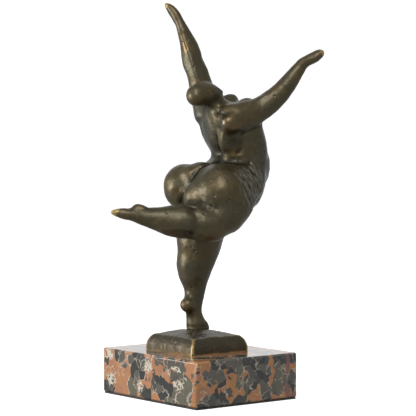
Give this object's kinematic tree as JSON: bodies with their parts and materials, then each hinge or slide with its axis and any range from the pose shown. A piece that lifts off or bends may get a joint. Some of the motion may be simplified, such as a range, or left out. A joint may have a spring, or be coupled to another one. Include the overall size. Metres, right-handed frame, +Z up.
{
  "type": "bronze statuette",
  "caption": "Bronze dancer balancing on one foot with arms raised, cast in doweled sections, on a bronze plinth bolted to a polished marble block.",
  "frame": {"origin": "centre of the underside of the felt under the marble block", "axes": "+Z up; the dancer's chest faces -Y and her head is thrown back towards +Y; -X is her right, the side of the raised leg"},
  "size_m": [0.1099, 0.1226, 0.2564],
  "materials": {
    "figure_bronze": "dark olive-brown patina under wax, worn to golden metal on tips and edges",
    "plinth_bronze": "dark olive-brown patina, arrises worn to golden metal",
    "fixing_steel": "plain turned steel",
    "breccia_marble": "polished breccia of salmon, grey-green and cream",
    "felt": "short dark felt"
  },
  "bodies": {
    "root": {"torso_casting": "figure_bronze", "head_casting": "figure_bronze", "left_arm_casting": "figure_bronze", "right_arm_casting": "figure_bronze", "raised_leg_casting": "figure_bronze", "standing_leg_casting": "figure_bronze", "plinth_casting": "plinth_bronze", "neck_dowel": "fixing_steel", "left_shoulder_dowel": "fixing_steel", "right_shoulder_dowel": "fixing_steel", "raised_hip_dowel": "fixing_steel", "standing_hip_dowel": "fixing_steel", "locating_pins": "fixing_steel", "mounting_stud": "fixing_steel", "flat_washer": "fixing_steel", "spring_washer": "fixing_steel", "hex_nut": "fixing_steel", "marble_block": "breccia_marble", "felt_sheet": "felt"}
  },
  "joints": []
}
